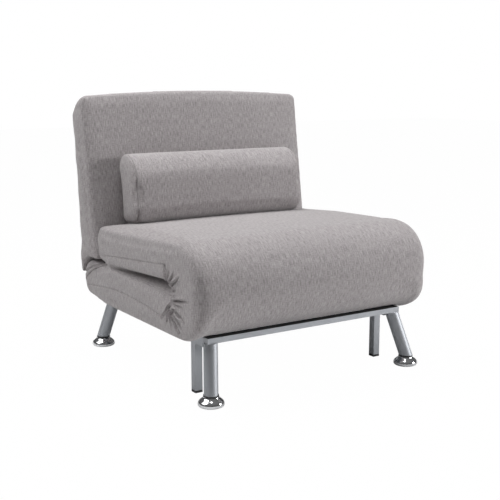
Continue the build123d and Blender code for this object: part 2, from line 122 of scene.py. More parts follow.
# Rims at the sides: how wide and how deep they round, and how the sides sag and taper
seat_nose_rim = (0.030, 0.012)
seat_side_sink = 0.010
seat_low_rim = (0.012, 0.010)
seat_rear_rim = (0.008, 0.004)
nose_rim = (0.040, 0.024)
base_low_rim = (0.016, 0.005)
base_low_sag = 0.006
base_sag_start = 0.338
base_sag_run = 0.02
base_roll_width = 0.130
base_roll_front = 0.058
base_roll_rear = 0.006
base_end_rim = (0.008, 0.003)
back_top_front_rim = (0.014, 0.009)
back_foot_front_rim = (0.022, 0.015)
back_rear_rim = (0.010, 0.005)
back_top_rim = (0.020, 0.012)
back_taper = 0.006
back_taper_height = 0.065
back_foot_taper = 0.011
back_foot_taper_top = 0.11
back_foot_taper_run = 0.10
pillow_foot_rim = (0.020, 0.016)
pillow_end_rim = (0.007, 0.006)

# Skin and stuffing: size of the skin's cells, pressure, how far the skin may move, and what is held still
mattress_voxel = 0.0055
back_voxel = 0.0065
pillow_voxel = 0.005
pressure = 2.0
mattress_swell = 0.0025
cushion_swell = 0.004
held_height = 0.012

# Gaps between pieces that rest on each other, and how deep a piece may sink before it is left alone
rest_gap = 0.0006
seat_back_gap = 0.0012
rest_limit = 0.06

# Area over the steel frame, where the base section stays above the base cloth
frame_half = 0.331
rail_margin = 0.012

# Filling between the two sections of the mattress, before they are parted
core_margin = 0.06
core_front = 0.01
core_rear = 0.09
core_half_height = 0.006

# Slits for the recline arms
slit_slack = 0.0015
slit_depth = 0.022
slit_reach = 0.12
slit_rise = 0.05

# Sewn grooves: depth and width, place of the bolster's end seams, and form of the gathered folds
seam_groove = (0.0020, 0.0018)
hem_groove = (0.0050, 0.0026)
gather_groove = (0.0080, 0.0050)
end_seam_groove = (0.0030, 0.0018)
end_seam_inset = 0.006
end_seam_reach = 0.008
fold_width = 0.0032
fold_share = 1.35

# Side panels: how far in from the side the grooves begin, and over what run they fade in
hem_side = (0.05, 0.02)
seam_side = (0.06, 0.03)
gather_side = (0.075, 0.03)

# Parts of the side panels with a finer skin
hem_front_y = 0.18
hem_low = -0.055
gather_panel = 0.07
gather_run = (-0.345, -0.185)
gather_heights = (-0.13, 0.065)
seam_panel = 0.04
seam_front_y = -0.22
seam_reach = 0.006

# Seams and gathers on the side panels: y, and height from the fold
seat_seam = ((-0.206, 0.0480), (-0.104, 0.0402), (-0.013, 0.0355), (0.091, 0.0312), (0.205, 0.0250))
base_seam = ((-0.192, -0.0960), (-0.099, -0.0827), (-0.008, -0.0750), (0.097, -0.0695), (0.202, -0.0763),
             (0.313, -0.0905))
gather_seam = ((-0.202, 0.045), (-0.212, 0.010), (-0.228, -0.014), (-0.236, -0.043), (-0.240, -0.066),
               (-0.256, -0.092), (-0.274, -0.116))
gather_folds = (
    ((-0.212, 0.004), (-0.194, 0.036), 0.0060),
    ((-0.222, -0.006), (-0.226, 0.040), 0.0055),
    ((-0.228, -0.012), (-0.255, 0.034), 0.0080),
    ((-0.234, -0.016), (-0.283, 0.027), 0.0085),
    ((-0.230, -0.022), (-0.266, -0.012), 0.0050),
    ((-0.231, -0.027), (-0.211, -0.036), 0.0045),
    ((-0.234, -0.034), (-0.262, -0.030), 0.0040),
    ((-0.246, -0.043), (-0.322, -0.028), 0.0085),
    ((-0.246, -0.050), (-0.300, -0.046), 0.0045),
    ((-0.230, -0.058), (-0.182, -0.098), 0.0085),
    ((-0.232, -0.064), (-0.206, -0.112), 0.0070),
    ((-0.238, -0.067), (-0.236, -0.114), 0.0080),
    ((-0.243, -0.066), (-0.264, -0.113), 0.0070),
    ((-0.247, -0.064), (-0.296, -0.106), 0.0085),
    ((-0.247, -0.060), (-0.312, -0.082), 0.0065),
)

# Hem of the back cover on the sides of the base section's rear end: y, and height from the pivot
hem_lines = (
    ((0.215, 0.0560), (0.279, 0.0370), (0.328, 0.0150), (0.342, 0.0050)),
    ((0.190, 0.0560), (0.251, 0.0360), (0.290, 0.0180), (0.322, -0.0020), (0.336, -0.0180), (0.334, -0.0360),
     (0.329, -0.0460)),
)

# Black strip on the front rail, painted shade for the dark gap under the mattress, and chrome feet
shade_strip_thickness = 0.0009
shade_strip_round = 0.0004
shade_strip_end_inset = 0.002
shade_strip_side_inset = 0.001
foot_steps = 72
foot_sharp_angle = 40

# Camera, floor and sky
camera_place = (-1.4862, -2.3291, 0.8235)
camera_tilt = 10.2714
camera_turn = -32.7575
camera_lens = 66.64
camera_sensor = 36
floor_size = 14
sky_light = 0.10

scene = bpy.context.scene


# Mesh helpers

def block(low, high):
    """Box between two corners, as a bmesh."""
    size = Vector(high) - Vector(low)
    middle = (Vector(high) + Vector(low)) / 2
    shape = bmesh.new()
    bmesh.ops.create_cube(shape, size=1, matrix=Matrix.Translation(middle) @ Matrix.Diagonal((*size, 1)))
    return shape


def edges_at(shape, **place):
    """Edges whose two ends both lie at the given coordinates."""
    def holds(vertex):
        return all(abs(getattr(vertex.co, axis) - value) < 1e-6 for axis, value in place.items())
    return [edge for edge in shape.edges if all(holds(vertex) for vertex in edge.verts)]


def round_edges(shape, edges, radius, segments):
    """Rounds the given edges."""
    bmesh.ops.bevel(shape, geom=edges, offset=radius, offset_type="OFFSET", segments=segments, profile=0.5,
                    affect="EDGES", clamp_overlap=False, material=-1)


def new_piece(name, *shapes):
    """Object made of one or more bmeshes, which are used up."""
    mesh = bpy.data.meshes.new(name)
    whole = bmesh.new()
    for shape in shapes:
        bmesh.ops.recalc_face_normals(shape, faces=shape.faces)
        shape.to_mesh(mesh)
        whole.from_mesh(mesh)
        shape.free()
    whole.to_mesh(mesh)
    whole.free()
    piece = bpy.data.objects.new(name, mesh)
    scene.collection.objects.link(piece)
    return piece


def bake_modifiers(piece):
    """Replaces the piece's mesh by what its modifiers make of it."""
    bpy.context.view_layer.update()
    evaluated = piece.evaluated_get(bpy.context.evaluated_depsgraph_get())
    made = bpy.data.meshes.new_from_object(evaluated)
    piece.modifiers.clear()
    piece.data = made


def places(mesh):
    """Vertex places as an array."""
    flat = np.empty(len(mesh.vertices) * 3)
    mesh.vertices.foreach_get("co", flat)
    return flat.reshape(-1, 3)


def normals(mesh):
    """Vertex normals as an array."""
    flat = np.empty(len(mesh.vertices) * 3)
    mesh.vertices.foreach_get("normal", flat)
    return flat.reshape(-1, 3)


def set_places(mesh, moved):
    """Moves every vertex to its new place."""
    mesh.vertices.foreach_set("co", moved.ravel())
    mesh.update()


def voxel_skin(piece, voxel):
    """One even closed skin around everything in the piece."""
    remesh = piece.modifiers.new("Skin", "REMESH")
    remesh.mode = "VOXEL"
    remesh.voxel_size = voxel
    bake_modifiers(piece)


def relax(piece, rounds):
    """Evens out the skin without shrinking it."""
    mesh = piece.data
    ends = np.empty(len(mesh.edges) * 2, dtype=np.int32)
    mesh.edges.foreach_get("vertices", ends)
    first, second = ends[::2], ends[1::2]
    count = len(mesh.vertices)
    valence = np.maximum(np.bincount(ends, minlength=count), 1)[:, None]
    at = places(mesh)
    for factor in (0.5, -0.53) * rounds:
        around = np.empty_like(at)
        for axis in range(3):
            around[:, axis] = (np.bincount(first, weights=at[second, axis], minlength=count)
                               + np.bincount(second, weights=at[first, axis], minlength=count))
        at = at + factor * (around / valence - at)
    set_places(mesh, at)


def inflate(piece, cap, held=None):
    """Blows the skin up as stuffed cloth, with no point moving further than the cap."""
    frames = 20
    start = places(piece.data)
    cloth = piece.modifiers.new("Stuffing", "CLOTH")
    settings = cloth.settings
    settings.quality = 4
    settings.use_pressure = True
    settings.uniform_pressure_force = pressure
    settings.effector_weights.gravity = 0
    if held is not None:
        group = piece.vertex_groups.new(name="held")
        group.add([int(index) for index in np.nonzero(held(start))[0]], 1.0, "REPLACE")
        settings.vertex_group_mass = "held"
    cloth.point_cache.frame_end = frames
    for number in range(1, frames + 1):
        scene.frame_set(number)
    evaluated = piece.evaluated_get(bpy.context.evaluated_depsgraph_get())
    step = places(evaluated.data) - start
    length = np.maximum(np.linalg.norm(step, axis=1), 1e-9)
    piece.modifiers.remove(cloth)
    piece.vertex_groups.clear()
    set_places(piece.data, start + step * np.minimum(1, cap / length)[:, None])
    scene.frame_set(1)


def subdivide(piece):
    """One level of smooth subdivision."""
    finer = piece.modifiers.new("Finer", "SUBSURF")
    finer.levels = 1
    finer.render_levels = 1
    bake_modifiers(piece)


def refine(piece, inside):
    """Splits the edges of the faces whose centres lie inside the region."""
    shape = bmesh.new()
    shape.from_mesh(piece.data)
    edges = {edge for face in shape.faces if inside(face.calc_center_median()) for edge in face.edges}
    bmesh.ops.subdivide_edges(shape, edges=list(edges), cuts=1, use_grid_fill=True)
    shape.to_mesh(piece.data)
    shape.free()


def push(piece, amount):
    """Moves each vertex along its normal by an amount worked out from its place."""
    at = places(piece.data)
    set_places(piece.data, at + normals(piece.data) * amount(at)[:, None])


def smooth_shading(piece, sharp_angle=60):
    """Smooth shading, with sharp edges past an angle."""
    piece.data.shade_smooth()
    piece.data.set_sharp_from_angle(angle=radians(sharp_angle))


def cloth_map(piece):
    """Lays the weave on the piece from its nearest side, in metres."""
    mesh = piece.data
    layer = mesh.uv_layers.get("weave") or mesh.uv_layers.new(name="weave")
    count = len(mesh.loops)
    corners = np.empty(count, dtype=np.int32)
    mesh.loops.foreach_get("vertex_index", corners)
    facing = np.empty(len(mesh.polygons) * 3)
    mesh.polygons.foreach_get("normal", facing)
    sizes = np.empty(len(mesh.polygons), dtype=np.int32)
    mesh.polygons.foreach_get("loop_total", sizes)
    side = np.repeat(np.argmax(np.abs(facing.reshape(-1, 3)), axis=1), sizes)
    at = places(mesh)[corners]
    across = np.where(side == 0, at[:, 1], at[:, 0])
    along = np.where(side == 2, at[:, 1], at[:, 2])
    layer.data.foreach_set("uv", np.stack((across, along), axis=1).ravel())


def distance_to_line(at, start, end):
    """Distance of (y, z) places from a straight line, and how far along it they lie."""
    start = np.array(start)
    run = np.array(end) - start
    share = np.clip(((at - start) @ run) / (run @ run), 0, 1)
    return np.linalg.norm(at - start - share[:, None] * run, axis=1), share


def crease(distance, width):
    """Valley with a raised lip on each side."""
    lip = np.exp(-((distance - 2.1 * width) / (0.9 * width)) ** 2)
    return np.exp(-(distance / width) ** 2) - 0.45 * lip


# Materials

def new_material(name):
    """Material with its tree and its shader."""
    material = bpy.data.materials.new(name)
    material.use_nodes = True
    tree = material.node_tree
    return material, tree, tree.nodes["Principled BSDF"]


def add_node(tree, kind, inputs=None, **settings):
    """Node with its settings and its input values or links."""
    made = tree.nodes.new(kind)
    for name, value in settings.items():
        setattr(made, name, value)
    for name, value in (inputs or {}).items():
        if isinstance(value, bpy.types.NodeSocket):
            tree.links.new(value, made.inputs[name])
        else:
            made.inputs[name].default_value = value
    return made


def stretched(tree, coordinates, scale):
    """Coordinates stretched by a scale along each axis."""
    return add_node(tree, "ShaderNodeMapping", {"Vector": coordinates, "Scale": scale}).outputs["Vector"]


def noise(tree, coordinates, scale, detail=2.0):
    """Noise value over the coordinates."""
    found = add_node(tree, "ShaderNodeTexNoise", {"Vector": coordinates, "Scale": scale, "Detail": detail})
    return found.outputs["Fac"]


def ramp(tree, value, *stops):
    """Colours that follow a value from 0 to 1."""
    made = add_node(tree, "ShaderNodeValToRGB", {"Fac": value})
    elements = made.color_ramp.elements
    while len(elements) < len(stops):
        elements.new(1.0)
    for element, (position, colour) in zip(elements, stops):
        element.position = position
        element.color = (*colour, 1)
    return made.outputs["Color"]


def arithmetic(tree, operation, first, second):
    """Result of one sum on two values."""
    return add_node(tree, "ShaderNodeMath", {0: first, 1: second}, operation=operation).outputs["Value"]


def bump(tree, shader, height, strength, distance):
    """Fine relief on a shader."""
    made = add_node(tree, "ShaderNodeBump", {"Height": height, "Strength": strength, "Distance": distance})
    tree.links.new(made.outputs["Normal"], shader.inputs["Normal"])


def grey_weave(name="grey weave", thread=0.0022):
    """Heathered warm grey cloth, with threads both ways."""
    material, tree, shader = new_material(name)
    weave = add_node(tree, "ShaderNodeUVMap", uv_map="weave").outputs["UV"]
    warp = noise(tree, stretched(tree, weave, (430, 55, 1)), 1.0, 3.0)
    weft = noise(tree, stretched(tree, weave, (90, 560, 1)), 1.0, 3.0)
    cloud = noise(tree, stretched(tree, weave, (9, 7, 1)), 1.0, 3.0)
    heather = arithmetic(tree, "MULTIPLY_ADD", warp, 0.62)
    tree.links.new(arithmetic(tree, "MULTIPLY", weft, 0.38), heather.node.inputs[2])
    colour = ramp(tree, heather, (0.30, (0.160, 0.146, 0.148)), (0.50, (0.330, 0.306, 0.310)),
                  (0.72, (0.520, 0.486, 0.491)))
    drift = add_node(tree, "ShaderNodeMix", {"Factor": 0.12, "A": colour, "B": ramp(
        tree, cloud, (0.3, (0.27, 0.25, 0.25)), (0.7, (0.41, 0.39, 0.39)))}, data_type="RGBA")
    tree.links.new(drift.outputs["Result"], shader.inputs["Base Color"])
    pitch = 2 * pi / thread
    split = add_node(tree, "ShaderNodeSeparateXYZ", {"Vector": weave})
    over = arithmetic(tree, "SINE", arithmetic(tree, "MULTIPLY", split.outputs["X"], pitch), 0.0)
    under = arithmetic(tree, "SINE", arithmetic(tree, "MULTIPLY", split.outputs["Y"], pitch), 0.0)
    knots = arithmetic(tree, "MULTIPLY", over, under)
    relief = arithmetic(tree, "ADD", arithmetic(tree, "MULTIPLY", knots, 0.35), heather)
    bump(tree, shader, relief, 0.2, 0.0006)
    shader.inputs["Roughness"].default_value = 0.95
    shader.inputs["Specular IOR Level"].default_value = 0.2
    shader.inputs["Sheen Weight"].default_value = 0.18
    shader.inputs["Sheen Roughness"].default_value = 0.6
    return material


def silver_paint():
    """Silver grey powder coat on the tubes."""
    material, tree, shader = new_material("silver paint")
    spot = add_node(tree, "ShaderNodeTexCoord").outputs["Object"]
    flake = noise(tree, spot, 2600.0, 2.0)
    patch = noise(tree, spot, 14.0, 3.0)
    fine = arithmetic(tree, "MULTIPLY", flake, 0.7)
    coarse = arithmetic(tree, "MULTIPLY", patch, 0.3)
    mixed = arithmetic(tree, "ADD", fine, coarse)
    tree.links.new(ramp(tree, mixed, (0.3, (0.33, 0.345, 0.37)), (0.7, (0.47, 0.485, 0.51))),
                   shader.inputs["Base Color"])
    rough = add_node(tree, "ShaderNodeMapRange", {"Value": patch, "To Min": 0.46, "To Max": 0.58})
    tree.links.new(rough.outputs["Result"], shader.inputs["Roughness"])
    bump(tree, shader, flake, 0.12, 0.0002)
    shader.inputs["Metallic"].default_value = 0.65
    return material


def metal(name, dark, light, low_rough, high_rough, grain):
    """Bare metal with faint smears and grain."""
    material, tree, shader = new_material(name)
    spot = add_node(tree, "ShaderNodeTexCoord").outputs["Object"]
    smear = noise(tree, spot, 30.0, 4.0)
    lines = noise(tree, stretched(tree, spot, grain), 1.0, 2.0)
    tree.links.new(ramp(tree, smear, (0.3, dark), (0.7, light)), shader.inputs["Base Color"])
    rough = add_node(tree, "ShaderNodeMapRange", {"Value": smear, "To Min": low_rough, "To Max": high_rough})
    tree.links.new(rough.outputs["Result"], shader.inputs["Roughness"])
    bump(tree, shader, lines, 0.04, 0.0002)
    shader.inputs["Metallic"].default_value = 1.0
    return material


def dull(name, dark, light, scale, roughness, strength):
    """Matt surface with a fine grain, for plastic, cloth, foam and the black strip painted as shade on the front
    rail.
    """
    material, tree, shader = new_material(name)
    spot = add_node(tree, "ShaderNodeTexCoord").outputs["Object"]
    grain = noise(tree, spot, scale, 3.0)
    tree.links.new(ramp(tree, grain, (0.3, dark), (0.7, light)), shader.inputs["Base Color"])
    bump(tree, shader, grain, strength, 0.0005)
    shader.inputs["Roughness"].default_value = roughness
    return material


def plywood():
    """Raw board with a long grain."""
    material, tree, shader = new_material("plywood")
    spot = add_node(tree, "ShaderNodeTexCoord").outputs["Object"]
    grain = noise(tree, stretched(tree, spot, (6, 120, 120)), 1.0, 5.0)
    tree.links.new(ramp(tree, grain, (0.3, (0.42, 0.27, 0.14)), (0.7, (0.68, 0.50, 0.30))),
                   shader.inputs["Base Color"])
    bump(tree, shader, grain, 0.2, 0.0005)
    shader.inputs["Roughness"].default_value = 0.7
    return material


finishes = {
    "grey_fabric": grey_weave(),
    "foam": dull("cut foam", (0.66, 0.59, 0.42), (0.80, 0.74, 0.58), 900.0, 0.95, 0.5),
    "black_cloth": dull("black cloth", (0.008, 0.008, 0.008), (0.022, 0.022, 0.023), 1200.0, 0.95, 0.4),
    "silver_paint": silver_paint(),
    "foot_chrome": metal("foot chrome", (0.76, 0.77, 0.79), (0.86, 0.87, 0.88), 0.05, 0.12, (40, 40, 900)),
    "plain_steel": metal("zinc steel", (0.48, 0.48, 0.50), (0.62, 0.62, 0.63), 0.28, 0.42, (30, 900, 900)),
    "black_plastic": dull("black plastic", (0.012, 0.012, 0.013), (0.03, 0.03, 0.032), 1500.0, 0.5, 0.25),
    "grey_plastic": dull("grey plastic", (0.30, 0.31, 0.33), (0.40, 0.41, 0.43), 1500.0, 0.5, 0.25),
    "plywood": plywood(),
}


def dress(piece, slot, body, *stands_for):
    """Gives a piece its finish and its body, and hides the nodes that it stands for."""
    piece.data.materials.clear()
    piece.data.materials.append(finishes[slot])
    if stands_for:
        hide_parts(*stands_for)
    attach(piece, body)


# Outlines of the padded pieces

def inset(x, half, rim):
    """How far a rounded rim pulls a surface in at one place across the width."""
    width, height = rim
    share = min(max((abs(x) - half + width) / width, 0), 1)
    return height * (1 - sqrt(1 - share ** 2))


def arc(centre, radii, start, end, steps, power=2.0):
    """Places along part of an ellipse, from +y towards +z, fuller where the power is over 2."""
    ring = []
    for step in range(steps + 1):
        angle = radians(start + (end - start) * step / steps)
        run, rise = cos(angle), sin(angle)
        ring.append((centre[0] + radii[0] * copysign(abs(run) ** (2 / power), run),
                     centre[1] + radii[1] * copysign(abs(rise) ** (2 / power), rise)))
    return ring


def between(start, end, steps):
    """Places on a line, without its ends."""
    shares = [step / steps for step in range(1, steps)]
    run, rise = end[0] - start[0], end[1] - start[1]
    return [(start[0] + run * share, start[1] + rise * share) for share in shares]


def loft(outline, half):
    """Closed form through the outlines at stations across the width, closer together at the rims."""
    stations = 26
    shares = [sin(pi / 2 * step / stations) for step in range(-stations, stations + 1)]
    shape = bmesh.new()
    face = None
    for share in shares:
        ring = outline(share * half)
        if face is None:
            face = shape.faces.new([shape.verts.new((share * half, y, z)) for y, z in ring])
            continue
        grown = bmesh.ops.extrude_face_region(shape, geom=[face])
        face = next(item for item in grown["geom"] if isinstance(item, bmesh.types.BMFace))
        for vertex, (y, z) in zip(face.verts, ring):
            vertex.co = (share * half, y, z)
    bmesh.ops.recalc_face_normals(shape, faces=shape.faces)
    return shape


def rest_on(piece, under, way, gap=rest_gap):
    """Flattens a piece where it would sink into another, along one axis (0 to 2) and direction."""
    shape = bmesh.new()
    shape.from_mesh(under.data)
    tree = BVHTree.FromBMesh(shape)
    ray = Vector([0, 0, 0])
    axis, sign = way
    ray[axis] = sign
    for vertex in piece.data.vertices:
        far = vertex.co.copy()
        far[axis] = -2 * sign
        hit = tree.ray_cast(far, ray)[0]
        depth = -1 if hit is None else (vertex.co[axis] - hit[axis]) * sign
        if -gap < depth < rest_limit:
            vertex.co[axis] = hit[axis] - sign * gap
    shape.free()
    piece.data.update()


# Folding mattress: seat and base sections with one round nose

def seat_outline(x):
    """Side view of the seat section."""
    low = split_z + fold_inset + inset(x, pad_half, seat_low_rim)
    high = seat_high.z - pad_slack - inset(x, pad_half, seat_nose_rim) - seat_crown * (x / pad_half) ** 2
    front = pad_front + inset(x, pad_half, nose_rim)
    reach = seat_rear_reach * abs(x / pad_half) ** 6
    rear = seat_high.y - pad_slack + reach - inset(x, pad_half, seat_rear_rim)
    nose = high - low
    middle = low + seat_rear_middle * nose
    ring = arc((front + nose, low), (nose, nose), 180, 90, 16)
    corner = (rear - seat_corner_back - reach,
              high - seat_rear_drop + seat_rim_fade * inset(x, pad_half, seat_nose_rim))
    for step in range(1, 11):
        share = step / 10
        sink = seat_rear_drop * share ** 2.2 + seat_side_sink * sin(pi * share) * (x / pad_half) ** 12
        sink -= seat_rim_fade * share * inset(x, pad_half, seat_nose_rim)
        ring.append((front + nose + (corner[0] - front - nose) * share, high - sink))
    for share in (0.25, 0.5, 0.75):
        ring.append((corner[0] + (rear - corner[0]) * (1 - (1 - share) ** 2),
                     corner[1] + (middle - corner[1]) * share))
    ring += arc((rear - seat_rear_round, middle), (seat_rear_round, middle - low), 0, -90, 10)
    ring += between(ring[-1], ring[0], 12)
    return ring


def base_top(x, y):
    """Height of the base section's upper side, whose rim gets rounder towards the front."""
    share = min(max((y - gather_end_y) / (pivot.y - base_roll_end - gather_end_y), 0), 1)
    roll = base_roll_front + (base_roll_rear - base_roll_front) * share
    return split_z - fold_inset - inset(x, pad_half, (base_roll_width, roll))


def base_outline(x):
    """Side view of the base section."""
    low = base_low.z + pad_slack + inset(x, pad_half, base_low_rim)
    low -= base_low_sag * min(max((abs(x) - base_sag_start) / base_sag_run, 0), 1)
    front = pad_front + inset(x, pad_half, nose_rim)
    nose = split_z - base_low.z - pad_slack
    height = base_top(x, front) - low
    rear_top = base_top(x, pivot.y)
    rear_low = pivot.z - end_radius + inset(x, pad_half, base_low_rim)
    ring = arc((front + nose, low + height), (nose, height), 180, 270, 16, nose_power)
    ring += between(ring[-1], (base_flat_end, low), 9) + [(base_flat_end, low)]
    for share in (0.25, 0.5, 0.75):
        ring.append((base_flat_end + (pivot.y - base_flat_end) * share,
                     low + (rear_low - low) * share ** 2))
    reach = end_reach - inset(x, pad_half, base_end_rim)
    middle = (pivot.y, (rear_low + rear_top) / 2)
    tall = (rear_top - rear_low) / 2
    ring += arc(middle, (reach, tall), -90, 0, 8, end_power) + arc(middle, (reach, tall), 0, 90, 8)[1:]
    ring += [(y, base_top(x, y)) for y, _ in between(ring[-1], ring[0], 14)]
    return ring


def nose_outline(x):
    """Side view of the stuffing that joins the two sections at the nose."""
    front = pad_front + inset(x, pad_half, nose_rim)
    nose = split_z - base_low.z - pad_slack
    upper = arc((front + nose, split_z), (nose, nose), 170, 180, 4)
    lower = arc((front + nose, split_z), (nose, nose), 180, 208, 8, nose_power)
    return upper + lower[1:] + [(gather_end_y, lower[-1][1]), (gather_end_y, upper[0][1])]


def sag(y):
    """How far the fold rises at the gathers and sinks towards the rear."""
    rear_fall = pivot.z + end_radius - base_high.z
    return np.interp(y, (nose_y, gather_end_y, sag_end_y), (0, gather_lift, rear_fall))


def sag_seat(at):
    """Lets the seat section follow the fold, with its top level at the front."""
    fall = sag(at[:, 1])
    low_share = np.clip((seat_high.z - at[:, 2]) / (seat_high.z - split_z), 0, 1)
    at[:, 2] += np.where(fall > 0, fall * low_share, fall)
    return at


def sag_base(at):
    """Lets the upper side of the base section follow the fold."""
    at[:, 2] += sag(at[:, 1]) * np.clip((at[:, 2] - base_low.z) / (split_z - base_low.z), 0, 1)
    return at


def side_share(at, panel):
    """How far places lie on the side panels, from 0 to 1."""
    reach, run = panel
    return np.clip((np.abs(at[:, 0]) - half_width + reach) / run, 0, 1)


def line_depth(spot, line, groove):
    """Depth of a groove along a line of (y, z) places."""
    depth, width = groove
    deep = np.zeros(len(spot))
    for start, end in zip(line, line[1:]):
        distance, _ = distance_to_line(spot, start, end)
        deep = np.maximum(deep, depth * np.exp(-(distance / width) ** 2))
    return deep


def hem_depth(at):
    """Depth of the two sewn edges of the hem."""
    spot = at[:, 1:] - (0, pivot.z)
    return side_share(at, hem_side) * sum(line_depth(spot, line, hem_groove) for line in hem_lines)


def hem_region(centre):
    """Places on the side panels where the hem lies."""
    on_side = abs(centre.x) > half_width - hem_side[0]
    return on_side and centre.y > hem_front_y and centre.z > pivot.z + hem_low


def seam_depth(at, seam):
    """Depth of a sewn line on the side panels."""
    return side_share(at, seam_side) * line_depth(at[:, 1:] - (0, split_z), seam, seam_groove)


def gather_depth(at):
    """Depth of the gathered seam and its folds on the side panels."""
    spot = at[:, 1:] - (0, split_z)
    depth = line_depth(spot, gather_seam, gather_groove)
    for start, end, deep in gather_folds:
        distance, share = distance_to_line(spot, start, end)
        fade = np.clip(1.15 - share, 0, 1) * np.clip(6 * share + 0.4, 0, 1)
        depth += fold_share * deep * fade * crease(distance, fold_width)
    return depth * side_share(at, gather_side)


def gather_region(centre):
    """Places on the side panels where the gathers lie."""
    height = centre.z - split_z
    on_side = abs(centre.x) > half_width - gather_panel
    along = gather_run[0] < centre.y < gather_run[1]
    return on_side and along and gather_heights[0] < height < gather_heights[1]


def seam_region(centre):
    """Places on the side panels along the sewn lines."""
    if abs(centre.x) < half_width - seam_panel or centre.y < seam_front_y:
        return False
    heights = [np.interp(centre.y, *np.transpose(seam)) for seam in (seat_seam, base_seam)]
    return min(abs(centre.z - split_z - height) for height in heights) < seam_reach


def half_of(whole, name, keep_above):
    """Upper or lower section of the mattress, closed along the fold."""
    shape = bmesh.new()
    shape.from_mesh(whole.data)
    height = split_z + (fold_gap if keep_above else -fold_gap)
    cut = bmesh.ops.bisect_plane(shape, geom=shape.verts[:] + shape.edges[:] + shape.faces[:], dist=1e-6,
                                 plane_co=(0, 0, height), plane_no=(0, 0, 1), clear_inner=keep_above,
                                 clear_outer=not keep_above)
    rim = [item for item in cut["geom_cut"] if isinstance(item, bmesh.types.BMEdge)]
    bmesh.ops.holes_fill(shape, edges=rim, sides=0)
    return new_piece(name, shape)


def clear_frame(at):
    """Keeps the underside of the base section above the slats and the front rail."""
    inside = (np.abs(at[:, 0]) < frame_half) & (at[:, 1] > rail_low.y - rail_margin)
    over_frame = inside & (at[:, 2] < split_z)
    at[:, 2] = np.where(over_frame, np.maximum(at[:, 2], cloth_high.z + rest_gap), at[:, 2])
    return at


def clear_foot(at):
    """Keeps the rear end of the base section inside the circle that the foot of the back turns round."""
    run = at[:, 1] - pivot.y
    rise = at[:, 2] - pivot.z
    reach = np.hypot(run, rise)
    shrink = np.where((run > 0) & (reach > end_limit), end_limit / np.maximum(reach, 1e-6), 1)
    at[:, 1] = pivot.y + run * shrink
    at[:, 2] = pivot.z + rise * shrink
    return at


def cut_slits(piece):
    """Opens the rear end of the base section where the recline arms swing."""
    tools = []
    for node in ("recline_arm_left", "recline_arm_right"):
        low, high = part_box(node)
        tools.append(block((low.x - slit_slack, pivot.y - slit_depth, pivot.z - slit_depth),
                           (high.x + slit_slack, pivot.y + slit_reach, split_z + slit_rise)))
    tool = new_piece("slits", *tools)
    cut = piece.modifiers.new("Slits", "BOOLEAN")
    cut.operation = "DIFFERENCE"
    cut.solver = "EXACT"
    cut.object = tool
    bake_modifiers(piece)
    bpy.data.objects.remove(tool)


def make_mattress():
    """Stuffs the folded mattress in one go, sews its sides, and parts it along the fold."""
    core = block((-pad_half + core_margin, gather_end_y - core_front, split_z - core_half_height),
                 (pad_half - core_margin, seat_high.y - core_rear, split_z + core_half_height))
    whole = new_piece("mattress", loft(seat_outline, pad_half), loft(base_outline, pad_half),
                      loft(nose_outline, pad_half), core)
    voxel_skin(whole, mattress_voxel)
    relax(whole, 2)
    inflate(whole, mattress_swell)
    relax(whole, 1)
    for region in (seam_region, seam_region, gather_region, gather_region):
        refine(whole, region)
    push(whole, lambda at: -gather_depth(at) - seam_depth(at, seat_seam) - seam_depth(at, base_seam))
    seat = half_of(whole, "seat_section", True)
    base = half_of(whole, "base_section", False)
    bpy.data.objects.remove(whole)
    set_places(seat.data, sag_seat(places(seat.data)))
    set_places(base.data, sag_base(places(base.data)))
    for _ in range(2):
        refine(base, hem_region)
    push(base, lambda at: -hem_depth(at))
    set_places(base.data, clear_foot(clear_frame(places(base.data))))
    cut_slits(base)
    return seat, base


# Back section

def on_back(u, v):
    """Place on the leaning back, u to the rear of the pivot and v up the back."""
    return (pivot.y + u * cos(back_lean) + v * sin(back_lean),
            pivot.z - u * sin(back_lean) + v * cos(back_lean))


def foot_radius(angle):
    """Radius of the back's hollow foot about the pivot, wider at its lip to clear the base in turning."""
    share = 1 - np.clip(np.sin(angle), 0, 1)
    return end_radius + wrap_gap + (lip_radius - end_radius - wrap_gap) * share


def back_outline(x):
    """Side view of the back section, whose foot wraps the round rear end of the base section."""
    wrap = end_radius + wrap_gap
    front = -base_radius + pad_slack + back_foot_shift + inset(x, back_half, back_foot_front_rim)
    front_top = -base_radius + pad_slack + inset(x, back_half, back_top_front_rim)
    side = inset(x, back_half, back_rear_rim)
    top = back_length - pad_slack - back_arch * (x / back_half) ** 2 - inset(x, back_half, back_top_rim)
    rear_top = back_rear_top - pad_slack - side
    rear_foot = back_rear_foot - 0.2 * side
    waist = (back_rear_waist - side, back_waist_height)
    foot_v = (wrap + front * sin(back_lean)) / cos(back_lean)
    foot_run = max(on_back(front, foot_v)[0] - pivot.y, 0)
    foot_rise = sqrt(wrap ** 2 - foot_run ** 2)
    foot_v = (foot_rise + front * sin(back_lean)) / cos(back_lean)
    edge = back_front_round
    shoulder = top - back_crest_drop
    crest = min(back_crest_depth, 0.9 * (rear_top - front_top - edge))
    lip = (rear_foot, back_lip_height)
    slope = [(front, foot_v)] + between((front, foot_v), (front_top, top - edge), 12)
    slope += arc((front_top + edge, top - edge), (edge, edge), 180, 90, 6)
    slope += arc((rear_top - crest, shoulder), (crest, back_crest_height), 88, 0, 9, back_crest_power)
    slope += between((rear_top, shoulder), waist, 10) + [waist]
    slope += between(waist, lip, 5) + [lip]
    ring = [on_back(u, v) for u, v in slope]
    lowest = asin(lip_rise / lip_radius)
    highest = asin(foot_rise / wrap)
    for step in range(13):
        angle = lowest + (highest - lowest) * step / 12
        reach = foot_radius(angle)
        ring.append((pivot.y + reach * cos(angle), pivot.z + reach * sin(angle)))
    return ring


